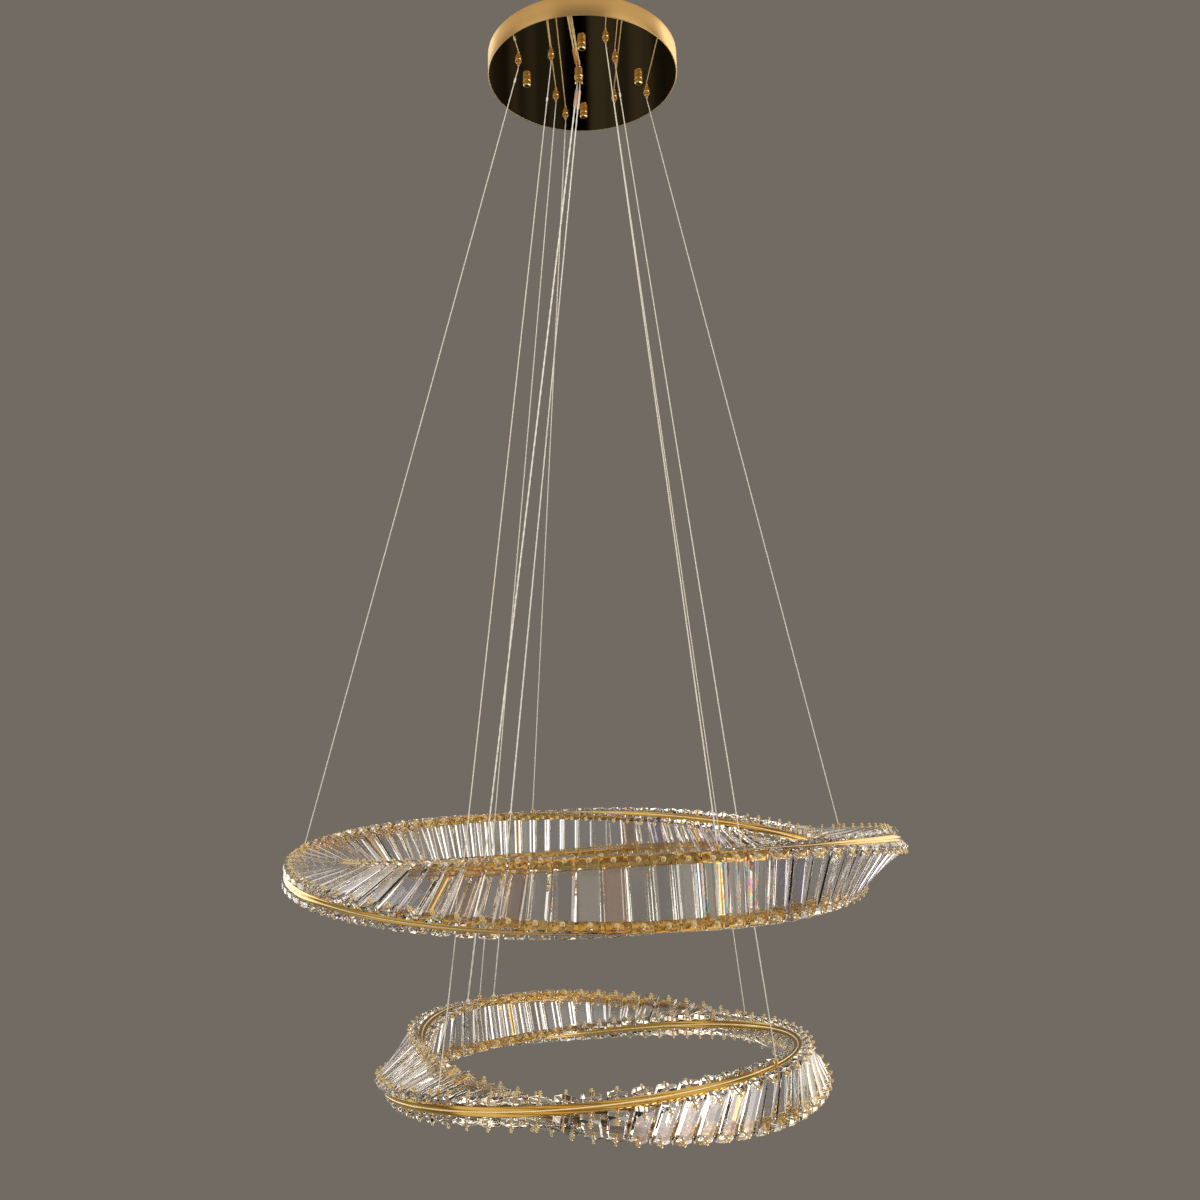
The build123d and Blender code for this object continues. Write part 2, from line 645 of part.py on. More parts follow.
# ---------------------------------------------------------------------------
# labels and files
# ---------------------------------------------------------------------------
nodes += [
    ("ceiling_plate", ceiling_plate.part), ("canopy_studs", canopy_studs.part),
    ("stud_nuts", stud_nuts.part), ("canopy_rim", canopy_rim.part),
    ("canopy_plate", canopy_plate.part), ("driver_upper_ring", drivers[0]),
    ("driver_lower_ring", drivers[1]), ("terminal_block", terminal_block.part),
    ("canopy_leads", canopy_leads.part), ("cable_grippers", cable_grippers.part),
    ("gripper_nuts", gripper_nuts.part), ("gripper_lock_screws", gripper_lock_screws.part),
    ("cord_gland", cord_gland.part), ("gland_nut", gland_nut.part),
    ("cord_sleeves", cord_sleeves.part), ("upper_wires", wire_parts["upper"]),
    ("lower_wires", wire_parts["lower"]), ("upper_power_cord", upper_power_cord.part),
    ("lower_power_cords", lower_power_cords.part),
]
nodes += [(f"cap_nut_{i + 1}", part) for i, part in enumerate(cap_nuts)]
nodes += [(f"plunger_{i + 1}", part) for i, part in enumerate(plungers)]

for label, part in nodes:
    part.label = label
    export_step(part, f"parts/{label}.step", write_pcurves=False)
print(len(nodes), "nodes")
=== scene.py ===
import json
import math
import random

import bmesh
import bpy
import numpy as np
from mathutils import Matrix, Vector


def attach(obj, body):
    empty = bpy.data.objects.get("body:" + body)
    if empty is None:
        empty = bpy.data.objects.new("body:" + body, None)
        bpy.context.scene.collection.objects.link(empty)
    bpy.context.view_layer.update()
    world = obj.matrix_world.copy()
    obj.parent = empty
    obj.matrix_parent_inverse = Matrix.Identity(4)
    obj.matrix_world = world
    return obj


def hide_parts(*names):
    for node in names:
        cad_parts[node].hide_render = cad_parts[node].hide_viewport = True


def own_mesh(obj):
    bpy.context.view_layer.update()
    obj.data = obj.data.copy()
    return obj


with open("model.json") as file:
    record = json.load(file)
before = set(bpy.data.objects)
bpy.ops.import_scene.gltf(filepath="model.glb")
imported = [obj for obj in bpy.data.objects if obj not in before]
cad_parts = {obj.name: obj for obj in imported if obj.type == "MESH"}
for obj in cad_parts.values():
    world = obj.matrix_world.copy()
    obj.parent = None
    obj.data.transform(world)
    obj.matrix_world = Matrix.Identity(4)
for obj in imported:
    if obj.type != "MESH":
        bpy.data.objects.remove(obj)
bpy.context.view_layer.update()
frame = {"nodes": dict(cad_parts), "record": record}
NODES = frame["nodes"]
scene = bpy.context.scene
rng = random.Random(7)

# ---------------------------------------------------------------------------
# dimensions, in metres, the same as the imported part's
# ---------------------------------------------------------------------------
RINGS = {
    "upper": dict(centre=(-0.0026, -0.0005, -1.1565), radius=0.3629, half=0.0378,
                  phase=67.88, sense=1, lean=(1.066, -0.670), count=92, first=-90.7),
    "lower": dict(centre=(0.0048, 0.0004, -1.4102), radius=0.2589, half=0.0340,
                  phase=-34.40, sense=-1, lean=(-1.163, 1.305), count=64, first=-76.4),
}
UPPER_EXITS = [(-0.0915, -0.0467), (0.0337, -0.0934), (0.0960, 0.0361), (-0.0284, 0.0888)]
LOWER_EXITS = [(-0.0441, -0.0565), (0.0474, -0.0478), (0.0472, 0.0471), (-0.0414, 0.0402)]
UPPER_ANCHORS = [(-177.75, -1, 1), (-69.2, 1, 0), (22.8, 1, -1), (107.1, -1, 0)]
LOWER_ANCHORS = [(-129.8, 1, -1), (-42.65, 1, 0), (44.6, -1, 1), (134.4, -1, 0)]
THICK, THIN = 0.0013, 0.0009
UPPER_INLETS = [(112.9, -1, THIN)]
LOWER_INLETS = [(140.0, -1, THICK), (128.4, -1, THIN)]
GLAND = Vector((-0.0057, -0.0046, 0))
CORD_OFFSETS = {"thick": Vector((-0.0025, 0, 0)), "second": Vector((0.0014, -0.0021, 0)),
                "third": Vector((0.0014, 0.0021, 0))}
WIRE_KNEE_Z, CORD_KNEE_Z = -0.043, -0.047
WIRE_R = 0.0007
CRYSTAL_W, CRYSTAL_T, CRYSTAL_BACK = 0.0215, 0.0075, 0.007
CORNER, CORNER_T = 0.016, 0.0052
LONG_DEPTH, LONG_WIDTH = 0.0016, 0.0026
EDGE_CHAMFER = 0.00028
PIN_FROM_EDGE = 0.0055
RAIL_W = 0.010


def lean_matrix(ring):
    rx, ry = (math.radians(a) for a in ring["lean"])
    return Matrix.Rotation(rx, 3, "X") @ Matrix.Rotation(ry, 3, "Y")


def band(ring, angle):
    """Origin, direction across the band, direction out of face a, direction along, at an angle."""
    phi = math.radians(ring["sense"] * angle + ring["phase"])
    th = math.radians(angle)
    out = Vector((math.cos(th), math.sin(th), 0))
    up = Vector((0, 0, 1))
    along = Vector((-math.sin(th), math.cos(th), 0))
    across = out * math.sin(phi) + up * math.cos(phi)
    face = out * math.cos(phi) - up * math.sin(phi)
    m = lean_matrix(ring)
    return Vector(ring["centre"]) + m @ (out * ring["radius"]), m @ across, m @ face, m @ along


def band_point(ring, angle, d, n):
    o, across, face, _ = band(ring, angle)
    return o + across * d + face * n


def crystal_angles(ring):
    return [ring["first"] + 360.0 * i / ring["count"] for i in range(ring["count"])]


def gap_angle(ring, near):
    pitch = 360.0 / ring["count"]
    k = round((near - ring["first"]) / pitch - 0.5)
    return ring["first"] + (k + 0.5) * pitch


# ---------------------------------------------------------------------------
# camera, from the fit of both rings to the photograph
# ---------------------------------------------------------------------------
PITCH, ROLL, FOCAL_PX = 0.14258944, -0.02096583, 1092.995
fwd = Vector((0, math.cos(PITCH), math.sin(PITCH)))
cam_up = Vector((0, -math.sin(PITCH), math.cos(PITCH)))
cam_right = Vector((1, 0, 0))
right2 = cam_right * math.cos(ROLL) + cam_up * math.sin(ROLL)
up2 = cam_up * math.cos(ROLL) - cam_right * math.sin(ROLL)
camera_data = bpy.data.cameras.new("camera")
camera_data.sensor_width = 36.0
camera_data.lens = FOCAL_PX / 1200 * 36.0
camera_data.clip_start = 0.02
camera_data.clip_end = 60
camera = bpy.data.objects.new("camera", camera_data)
camera.matrix_world = Matrix((
    (right2.x, up2.x, -fwd.x, 0.009534), (right2.y, up2.y, -fwd.y, -1.49147),
    (right2.z, up2.z, -fwd.z, -1.025133), (0, 0, 0, 1)))
scene.collection.objects.link(camera)
scene.camera = camera


# ---------------------------------------------------------------------------
# node helpers
# ---------------------------------------------------------------------------
def new_material(name):
    m = bpy.data.materials.new(name)
    m.use_nodes = True
    nt = m.node_tree
    return m, nt, nt.nodes["Principled BSDF"]


def node(nt, kind, **values):
    n = nt.nodes.new(kind)
    for key, value in values.items():
        if key.startswith("in_"):
            n.inputs[key[3:].replace("_", " ")].default_value = value
        else:
            setattr(n, key, value)
    return n


def coords(nt, kind="Object", scale=(1, 1, 1)):
    tc = node(nt, "ShaderNodeTexCoord")
    mp = node(nt, "ShaderNodeMapping")
    mp.inputs["Scale"].default_value = scale
    nt.links.new(tc.outputs[kind], mp.inputs["Vector"])
    return mp.outputs["Vector"]


def noise(nt, vector, scale, detail=3.0, rough=0.5, distortion=0.0):
    n = node(nt, "ShaderNodeTexNoise")
    n.inputs["Scale"].default_value = scale
    n.inputs["Detail"].default_value = detail
    n.inputs["Roughness"].default_value = rough
    n.inputs["Distortion"].default_value = distortion
    nt.links.new(vector, n.inputs["Vector"])
    return n.outputs["Fac"]


def ramp(nt, fac, stops):
    r = node(nt, "ShaderNodeValToRGB")
    e = r.color_ramp.elements
    while len(e) < len(stops):
        e.new(0.5)
    for item, (pos, col) in zip(e, stops):
        item.position = pos
        item.color = (*col, 1) if len(col) == 3 else col
    nt.links.new(fac, r.inputs["Fac"])
    return r.outputs["Color"]


def remap(nt, value, a, b, lo, hi):
    r = node(nt, "ShaderNodeMapRange")
    r.inputs["From Min"].default_value = a
    r.inputs["From Max"].default_value = b
    r.inputs["To Min"].default_value = lo
    r.inputs["To Max"].default_value = hi
    nt.links.new(value, r.inputs["Value"])
    return r.outputs["Result"]


def bump(nt, bsdf, height, distance, strength=1.0):
    b = node(nt, "ShaderNodeBump")
    b.inputs["Strength"].default_value = strength
    b.inputs["Distance"].default_value = distance
    nt.links.new(height, b.inputs["Height"])
    nt.links.new(b.outputs["Normal"], bsdf.inputs["Normal"])
    return b


# ---------------------------------------------------------------------------
# materials
# ---------------------------------------------------------------------------
def gold_material(name, light, dark, rough, brushed=None, uv=False, fine=0.00002, metal=1.0):
    """Gold plate: slow colour change over the surface, fine grain, smudges in the gloss."""
    m, nt, b = new_material(name)
    b.inputs["Metallic"].default_value = metal
    vec = coords(nt, "UV" if uv else "Object", brushed or (1, 1, 1))
    flat = coords(nt, "Object")
    tone = noise(nt, flat, 22.0, 4.0, 0.6)
    colour = ramp(nt, tone, [(0.30, dark), (0.62, light)])
    nt.links.new(colour, b.inputs["Base Color"])
    grain = noise(nt, vec, 900.0, 2.0, 0.6)
    smudge = noise(nt, flat, 60.0, 3.0, 0.5)
    mix = node(nt, "ShaderNodeMath", operation="ADD")
    nt.links.new(remap(nt, grain, 0.3, 0.7, -0.03, 0.05), mix.inputs[0])
    nt.links.new(remap(nt, smudge, 0.35, 0.7, rough[0], rough[1]), mix.inputs[1])
    nt.links.new(mix.outputs[0], b.inputs["Roughness"])
    bump(nt, b, grain, fine, 0.6)
    return m


rail_gold = gold_material("rail_gold", (0.86, 0.57, 0.155), (0.72, 0.43, 0.085), (0.08, 0.15),
                          brushed=(0.004, 1.0, 1), uv=True, fine=0.000006)
# the groove gets a paler, brighter, less metallic gold than the rail: a painted highlight line
groove_highlight_gold = gold_material("groove_highlight_gold", (1.0, 0.86, 0.56), (0.98, 0.78, 0.44), (0.28, 0.40),
                            brushed=(0.006, 1.0, 1), uv=True, fine=0.000006, metal=0.35)
polished_gold = gold_material("polished_gold", (0.96, 0.70, 0.32), (0.86, 0.56, 0.20),
                              (0.09, 0.18), fine=0.00001)
pin_gold = gold_material("pin_gold", (1.0, 0.84, 0.50), (0.97, 0.76, 0.38),
                         (0.12, 0.22), fine=0.00001, metal=0.85)
satin_gold = gold_material("satin_gold", (0.88, 0.62, 0.29), (0.84, 0.58, 0.26), (0.30, 0.36),
                           brushed=(0.01, 1.0, 1), uv=True, fine=0.00002)


def mirror_material():
    """Dark gilt mirror: a little haze and faint wipe marks, slightly wavy."""
    m, nt, b = new_material("canopy_mirror")
    b.inputs["Metallic"].default_value = 1.0
    flat = coords(nt, "Object")
    haze = noise(nt, flat, 9.0, 5.0, 0.6, 0.4)
    nt.links.new(ramp(nt, haze, [(0.25, (0.66, 0.48, 0.21)), (0.75, (0.72, 0.54, 0.25))]),
                 b.inputs["Base Color"])
    wipe = noise(nt, coords(nt, "Object", (1, 7, 1)), 30.0, 3.0, 0.5)
    nt.links.new(remap(nt, wipe, 0.3, 0.75, 0.02, 0.05), b.inputs["Roughness"])
    bump(nt, b, noise(nt, flat, 14.0, 2.0, 0.4), 0.00012, 0.2)
    return m


def crystal_material(name, gold_reflection_tint=None, painted_dispersion_colour=False):
    """Clear cut crystal.  A few bars have a faint lilac or rose body tint.  An optional warm tint is
    a painted reflection of the gold rails, and the bevelled edges of some carry small patches of
    painted rainbow colour, a painted dispersion glint."""
    m, nt, b = new_material(name)
    b.inputs["Transmission Weight"].default_value = 1.0
    b.inputs["IOR"].default_value = 1.54
    flat = coords(nt, "Object")
    geo = node(nt, "ShaderNodeNewGeometry")
    which = geo.outputs["Random Per Island"]
    tint = ramp(nt, which, [(0.0, (0.86, 0.83, 0.95)), (0.06, (0.88, 0.86, 0.96)),
                            (0.09, (0.985, 0.99, 1.0)), (0.88, (0.99, 0.99, 1.0)),
                            (0.92, (0.97, 0.89, 0.85)), (1.0, (0.95, 0.87, 0.84))])
    colour = tint
    # a warm tint on the bevels and ends: a painted reflection of the gold rails seen through the
    # glass
    if gold_reflection_tint is not None:
        gold_reflection_mix = node(nt, "ShaderNodeMix", data_type="RGBA", blend_type="MULTIPLY")
        gold_reflection_mix.inputs["Factor"].default_value = 1.0
        gold_reflection_mix.inputs[7].default_value = (*gold_reflection_tint, 1.0)
        nt.links.new(tint, gold_reflection_mix.inputs[6])
        tint = colour = gold_reflection_mix.outputs[2]
    if painted_dispersion_colour:
        # painted rainbow colour standing in for dispersion glints on the bevels
        dispersion_patches = noise(nt, coords(nt, "Object", (1, 1, 0.7)), 60.0, 1.5, 0.5, 0.8)
        dispersion_ramp = node(nt, "ShaderNodeValToRGB")
        dispersion_ramp.color_ramp.interpolation = "B_SPLINE"
        e = dispersion_ramp.color_ramp.elements
        stops = [(0.28, (1.0, 1.0, 1.0)), (0.36, (0.04, 0.22, 0.95)), (0.43, (0.06, 0.75, 0.9)),
                 (0.49, (1.0, 0.85, 0.10)), (0.55, (1.0, 0.24, 0.03)), (0.61, (0.80, 0.10, 0.6)),
                 (0.68, (1.0, 1.0, 1.0))]
        while len(e) < len(stops):
            e.new(0.5)
        for item, (pos, col) in zip(e, stops):
            item.position = pos
            item.color = (*col, 1)
        nt.links.new(dispersion_patches, dispersion_ramp.inputs["Fac"])
        # some of the bars show the painted rainbow glint, more of them on the -y side, and only
        # along part of an edge
        spin = node(nt, "ShaderNodeMath", operation="MULTIPLY")
        spin.inputs[1].default_value = 37.0
        nt.links.new(which, spin.inputs[0])
        frac = node(nt, "ShaderNodeMath", operation="FRACT")
        nt.links.new(spin.outputs[0], frac.inputs[0])
        apart = node(nt, "ShaderNodeSeparateXYZ")
        nt.links.new(flat, apart.inputs[0])
        share = remap(nt, apart.outputs["Y"], -0.24, -0.31, 0.03, 0.30)
        # none at the far left end, where the bars are seen edge on
        inner = node(nt, "ShaderNodeMath", operation="MULTIPLY")
        nt.links.new(share, inner.inputs[0])
        nt.links.new(remap(nt, apart.outputs["X"], -0.24, -0.19, 0.0, 1.0), inner.inputs[1])
        spare = node(nt, "ShaderNodeMath", operation="SUBTRACT")
        nt.links.new(inner.outputs[0], spare.inputs[0])
        nt.links.new(frac.outputs[0], spare.inputs[1])
        chosen = remap(nt, spare.outputs[0], 0.0, 0.02, 0.0, 1.0)
        where = remap(nt, noise(nt, flat, 26.0, 1.0, 0.5), 0.47, 0.53, 0.0, 1.0)
        both = node(nt, "ShaderNodeMath", operation="MULTIPLY")
        nt.links.new(chosen, both.inputs[0])
        nt.links.new(where, both.inputs[1])
        blend = node(nt, "ShaderNodeMix", data_type="RGBA")
        nt.links.new(both.outputs[0], blend.inputs["Factor"])
        nt.links.new(tint, blend.inputs[6])
        nt.links.new(dispersion_ramp.outputs["Color"], blend.inputs[7])
        colour = blend.outputs[2]
    nt.links.new(colour, b.inputs["Base Color"])
    smear = noise(nt, flat, 55.0, 4.0, 0.55)
    nt.links.new(remap(nt, smear, 0.56, 0.80, 0.0, 0.03), b.inputs["Roughness"])
    bump(nt, b, noise(nt, flat, 130.0, 2.0, 0.5, 0.7), 0.00004, 0.35)
    return m


def steel_material(name, light, dark, rough, metal=1.0):
    m, nt, b = new_material(name)
    b.inputs["Metallic"].default_value = metal
    flat = coords(nt, "Object")
    tone = noise(nt, flat, 160.0, 4.0, 0.6)
    nt.links.new(ramp(nt, tone, [(0.3, dark), (0.7, light)]), b.inputs["Base Color"])
    nt.links.new(remap(nt, noise(nt, flat, 700.0, 2.0), 0.3, 0.7, *rough), b.inputs["Roughness"])
    bump(nt, b, noise(nt, flat, 1500.0, 2.0), 0.00002, 0.4)
    return m


def plastic_material(name, light, dark, rough, coat=0.0, transmission=0.0, scale=45.0,
                     grain=900.0, depth=0.00003):
    m, nt, b = new_material(name)
    flat = coords(nt, "Object")
    tone = noise(nt, flat, scale, 4.0, 0.6)
    nt.links.new(ramp(nt, tone, [(0.3, dark), (0.7, light)]), b.inputs["Base Color"])
    nt.links.new(remap(nt, noise(nt, flat, scale * 4, 3.0), 0.3, 0.7, *rough),
                 b.inputs["Roughness"])
    b.inputs["Coat Weight"].default_value = coat
    b.inputs["Transmission Weight"].default_value = transmission
    bump(nt, b, noise(nt, flat, grain, 2.0), depth, 0.5)
    return m


def led_board_material():
    """White board with a row of yellow emitters, unlit, and thin tin pads between them."""
    m, nt, b = new_material("led_board")
    flat = coords(nt, "Object")
    cells = node(nt, "ShaderNodeTexVoronoi")
    cells.inputs["Scale"].default_value = 150.0
    nt.links.new(flat, cells.inputs["Vector"])
    nt.links.new(ramp(nt, cells.outputs["Distance"],
                      [(0.30, (0.90, 0.72, 0.16)), (0.36, (0.88, 0.87, 0.83))]),
                 b.inputs["Base Color"])
    nt.links.new(remap(nt, noise(nt, flat, 400.0), 0.3, 0.7, 0.35, 0.55), b.inputs["Roughness"])
    bump(nt, b, cells.outputs["Distance"], 0.0003, 0.3)
    return m


canopy_mirror = mirror_material()
crystal_glass = crystal_material("crystal_glass")
# the warm tints on the bevels and ends are a painted reflection of the gold rails
crystal_bevel = crystal_material("crystal_bevel", (1.0, 0.97, 0.91), True)
crystal_end = crystal_material("crystal_end", (1.0, 0.94, 0.80))
zinc_steel = steel_material("zinc_steel", (0.70, 0.71, 0.72), (0.52, 0.53, 0.55), (0.30, 0.48))
# the wires have a thin pale coating
steel_wire = steel_material("steel_wire", (0.97, 0.95, 0.91), (0.90, 0.87, 0.83), (0.35, 0.50), 0.45)
clear_cord = plastic_material("clear_cord", (0.88, 0.87, 0.84), (0.78, 0.77, 0.74),
                              (0.22, 0.34), coat=0.4)
rose_sleeve = plastic_material("rose_sleeve", (0.66, 0.40, 0.30), (0.52, 0.29, 0.21),
                               (0.28, 0.42), coat=0.3)
pale_sleeve = plastic_material("pale_sleeve", (0.84, 0.72, 0.67), (0.74, 0.62, 0.57),
                               (0.28, 0.42), coat=0.3)
driver_case = plastic_material("driver_case", (0.84, 0.84, 0.82), (0.78, 0.78, 0.76),
                               (0.42, 0.58), scale=25.0)
terminal_plastic = plastic_material("terminal_plastic", (0.87, 0.87, 0.84),
                                    (0.80, 0.80, 0.77), (0.35, 0.5))
lead_sleeve = plastic_material("lead_sleeve", (0.90, 0.90, 0.88), (0.82, 0.82, 0.80),
                               (0.35, 0.5))
diffuser_clear = plastic_material("diffuser_clear", (0.98, 0.97, 0.94), (0.94, 0.93, 0.90),
                                  (0.06, 0.14), scale=30.0, transmission=1.0)
clear_rubber = plastic_material("clear_rubber", (0.97, 0.96, 0.93), (0.92, 0.91, 0.88),
                                (0.08, 0.20), transmission=1.0)
led_board = led_board_material()

SLOT_MATERIAL = {
    "polished_gold": polished_gold, "satin_gold": satin_gold, "canopy_mirror": canopy_mirror,
    "rail_gold": rail_gold, "crystal": crystal_glass, "zinc_steel": zinc_steel,
    "driver_case": driver_case, "terminal_plastic": terminal_plastic,
    "lead_sleeve": lead_sleeve, "steel_wire": steel_wire, "clear_cord": clear_cord,
    "rose_sleeve": rose_sleeve, "led_board": led_board, "diffuser": diffuser_clear,
    "clear_rubber": clear_rubber,
}
for part in frame["record"]["subparts"]:
    obj = NODES[part["node"]]
    obj.data.materials.clear()
    obj.data.materials.append(SLOT_MATERIAL[part["material_slot"]])


# ---------------------------------------------------------------------------
# mesh helpers
# ---------------------------------------------------------------------------
def make_object(name, verts, faces, material, body, smooth=False, uvs=None):
    me = bpy.data.meshes.new(name)
    me.from_pydata([tuple(v) for v in verts], [], faces)
    if uvs is not None:
        layer = me.uv_layers.new(name="UVMap")
        layer.data.foreach_set("uv", np.asarray(uvs, np.float32).ravel())
    if smooth:
        me.polygons.foreach_set("use_smooth", [True] * len(me.polygons))
    me.materials.append(material)
    me.update()
    obj = bpy.data.objects.new(name, me)
    scene.collection.objects.link(obj)
    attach(obj, body)
    return obj


def rounded(points, radius, segments=3):
    """A closed profile with its corners rounded."""
    out = []
    n = len(points)
    for i in range(n):
        p, a, b = (np.array(points[j % n], float) for j in (i, i - 1, i + 1))
        u, v = a - p, b - p
        lu, lv = np.linalg.norm(u), np.linalg.norm(v)
        u, v = u / lu, v / lv
        r = min(radius, 0.45 * lu, 0.45 * lv)
        for k in range(segments + 1):
            t = k / segments
            q = (1 - t) ** 2 * (p + u * r) + 2 * t * (1 - t) * p + t * t * (p + v * r)
            out.append(tuple(q))
    return out


def swept_ring(name, ring, profile, steps, material, body, second=None, test=None):
    """A profile carried once round the twisted band, as one closed smooth skin."""
    verts, faces, uvs = [], [], []
    n = len(profile)
    lengths = [0.0]
    for i in range(n):
        a, b = np.array(profile[i]), np.array(profile[(i + 1) % n])
        lengths.append(lengths[-1] + float(np.linalg.norm(a - b)))
    for s in range(steps):
        o, across, face, _ = band(ring, 360.0 * s / steps)
        for d, w in profile:
            verts.append(o + across * d + face * w)
    arc = 2 * math.pi * ring["radius"] / steps
    for s in range(steps):
        t = (s + 1) % steps
        for i in range(n):
            j = (i + 1) % n
            faces.append((s * n + i, t * n + i, t * n + j, s * n + j))
            uvs += [(arc * s, lengths[i]), (arc * (s + 1), lengths[i]),
                    (arc * (s + 1), lengths[i + 1]), (arc * s, lengths[i + 1])]
    obj = make_object(name, verts, faces, material, body, True, uvs)
    if second is not None:
        mids = [((profile[i][0] + profile[(i + 1) % n][0]) / 2,
                 (profile[i][1] + profile[(i + 1) % n][1]) / 2) for i in range(n)]
        obj.data.materials.append(second)
        obj.data.polygons.foreach_set("material_index", [int(test(*m)) for m in mids] * steps)
    outward(obj)
    return obj


def outward(obj):
    bm = bmesh.new()
    bm.from_mesh(obj.data)
    bmesh.ops.recalc_face_normals(bm, faces=bm.faces)
    bm.to_mesh(obj.data)
    bm.free()


def lathe(profile, segments):
    """Vertices and quads of a profile (r, z) turned about z; r = 0 points become poles."""
    verts, faces, rows = [], [], []
    for r, z in profile:
        if r < 1e-9:
            rows.append([len(verts)])
            verts.append((0, 0, z))
        else:
            rows.append(list(range(len(verts), len(verts) + segments)))
            verts += [(r * math.cos(2 * math.pi * k / segments),
                       r * math.sin(2 * math.pi * k / segments), z) for k in range(segments)]
    for a, b in zip(rows, rows[1:]):
        for k in range(segments):
            m = (k + 1) % segments
            quad = [a[k % len(a)], b[k % len(b)], b[m % len(b)], a[m % len(a)]]
            face = []
            for q in quad:
                if q not in face:
                    face.append(q)
            if len(face) > 2:
                faces.append(tuple(face))
    return verts, faces


def copies(name, unit, transforms, material, body, smooth=False, autosmooth=None,
           second=None, second_faces=None):
    """One mesh holding a transformed copy of a unit mesh for each 4x4 matrix."""
    verts, faces = unit
    base = np.array([(*v, 1.0) for v in verts], float)
    all_verts, all_faces = [], []
    for i, m in enumerate(transforms):
        all_verts.append((base @ np.array(m, float).T)[:, :3])
        shift = i * len(verts)
        all_faces += [tuple(k + shift for k in f) for f in faces]
    obj = make_object(name, np.concatenate(all_verts), all_faces, material, body, smooth,
                      None)
    if second is not None:
        for extra in second:
            obj.data.materials.append(extra)
        obj.data.polygons.foreach_set("material_index", list(second_faces) * len(transforms))
    if autosmooth is not None:
        obj.data.set_sharp_from_angle(angle=math.radians(autosmooth))
    return obj


def bevel_faces(unit, limit=0.97):
    """0 for a bar's flat front and back, 1 for its long edges, 2 for its ends."""
    verts, faces = unit
    flags = []
    for f in faces:
        p = [np.array(verts[k]) for k in f]
        n = sum(np.cross(p[i] - p[0], p[(i + 1) % len(p)] - p[0]) for i in range(1, len(p)))
        length = np.linalg.norm(n)
        if length < 1e-14 or abs(n[2]) / length > limit:
            flags.append(0)
        else:
            flags.append(2 if abs(n[0]) / length > 0.05 else 1)
    return flags


def placed(origin, x, z):
    x, z = x.normalized(), z.normalized()
    y = z.cross(x)
    return Matrix(((x.x, y.x, z.x, origin.x), (x.y, y.y, z.y, origin.y),
                   (x.z, y.z, z.z, origin.z), (0, 0, 0, 1)))


# ---------------------------------------------------------------------------
# crystal bars
# ---------------------------------------------------------------------------
def solid_from_planes(planes):
    """Vertices and faces of the convex solid inside a list of planes (point, outward normal)."""
    normals = np.array([np.array(n, float) / np.linalg.norm(n) for _, n in planes])
    offsets = np.array([float(np.dot(n, np.array(p, float))) for n, (p, _) in
                        zip(normals, planes)])
    verts, owners = [], []
    count = len(planes)
    for i in range(count):
        for j in range(i + 1, count):
            for k in range(j + 1, count):
                m = normals[[i, j, k]]
                if abs(np.linalg.det(m)) < 1e-7:
                    continue
                q = np.linalg.solve(m, offsets[[i, j, k]])
                if np.any(normals @ q > offsets + 1e-8):
                    continue
                for at, v in enumerate(verts):
                    if np.linalg.norm(v - q) < 1e-7:
                        owners[at] |= {i, j, k}
                        break
                else:
                    verts.append(q)
                    owners.append({i, j, k})
    faces = []
    for i in range(count):
        ids = [k for k, own in enumerate(owners) if i in own]
        if len(ids) < 3:
            continue
        centre = np.mean([verts[k] for k in ids], axis=0)
        u = verts[ids[0]] - centre
        u /= np.linalg.norm(u)
        w = np.cross(normals[i], u)
        ids.sort(key=lambda k: math.atan2(float(np.dot(verts[k] - centre, w)),
                                          float(np.dot(verts[k] - centre, u))))
        faces.append(tuple(ids))
    return [tuple(v) for v in verts], faces


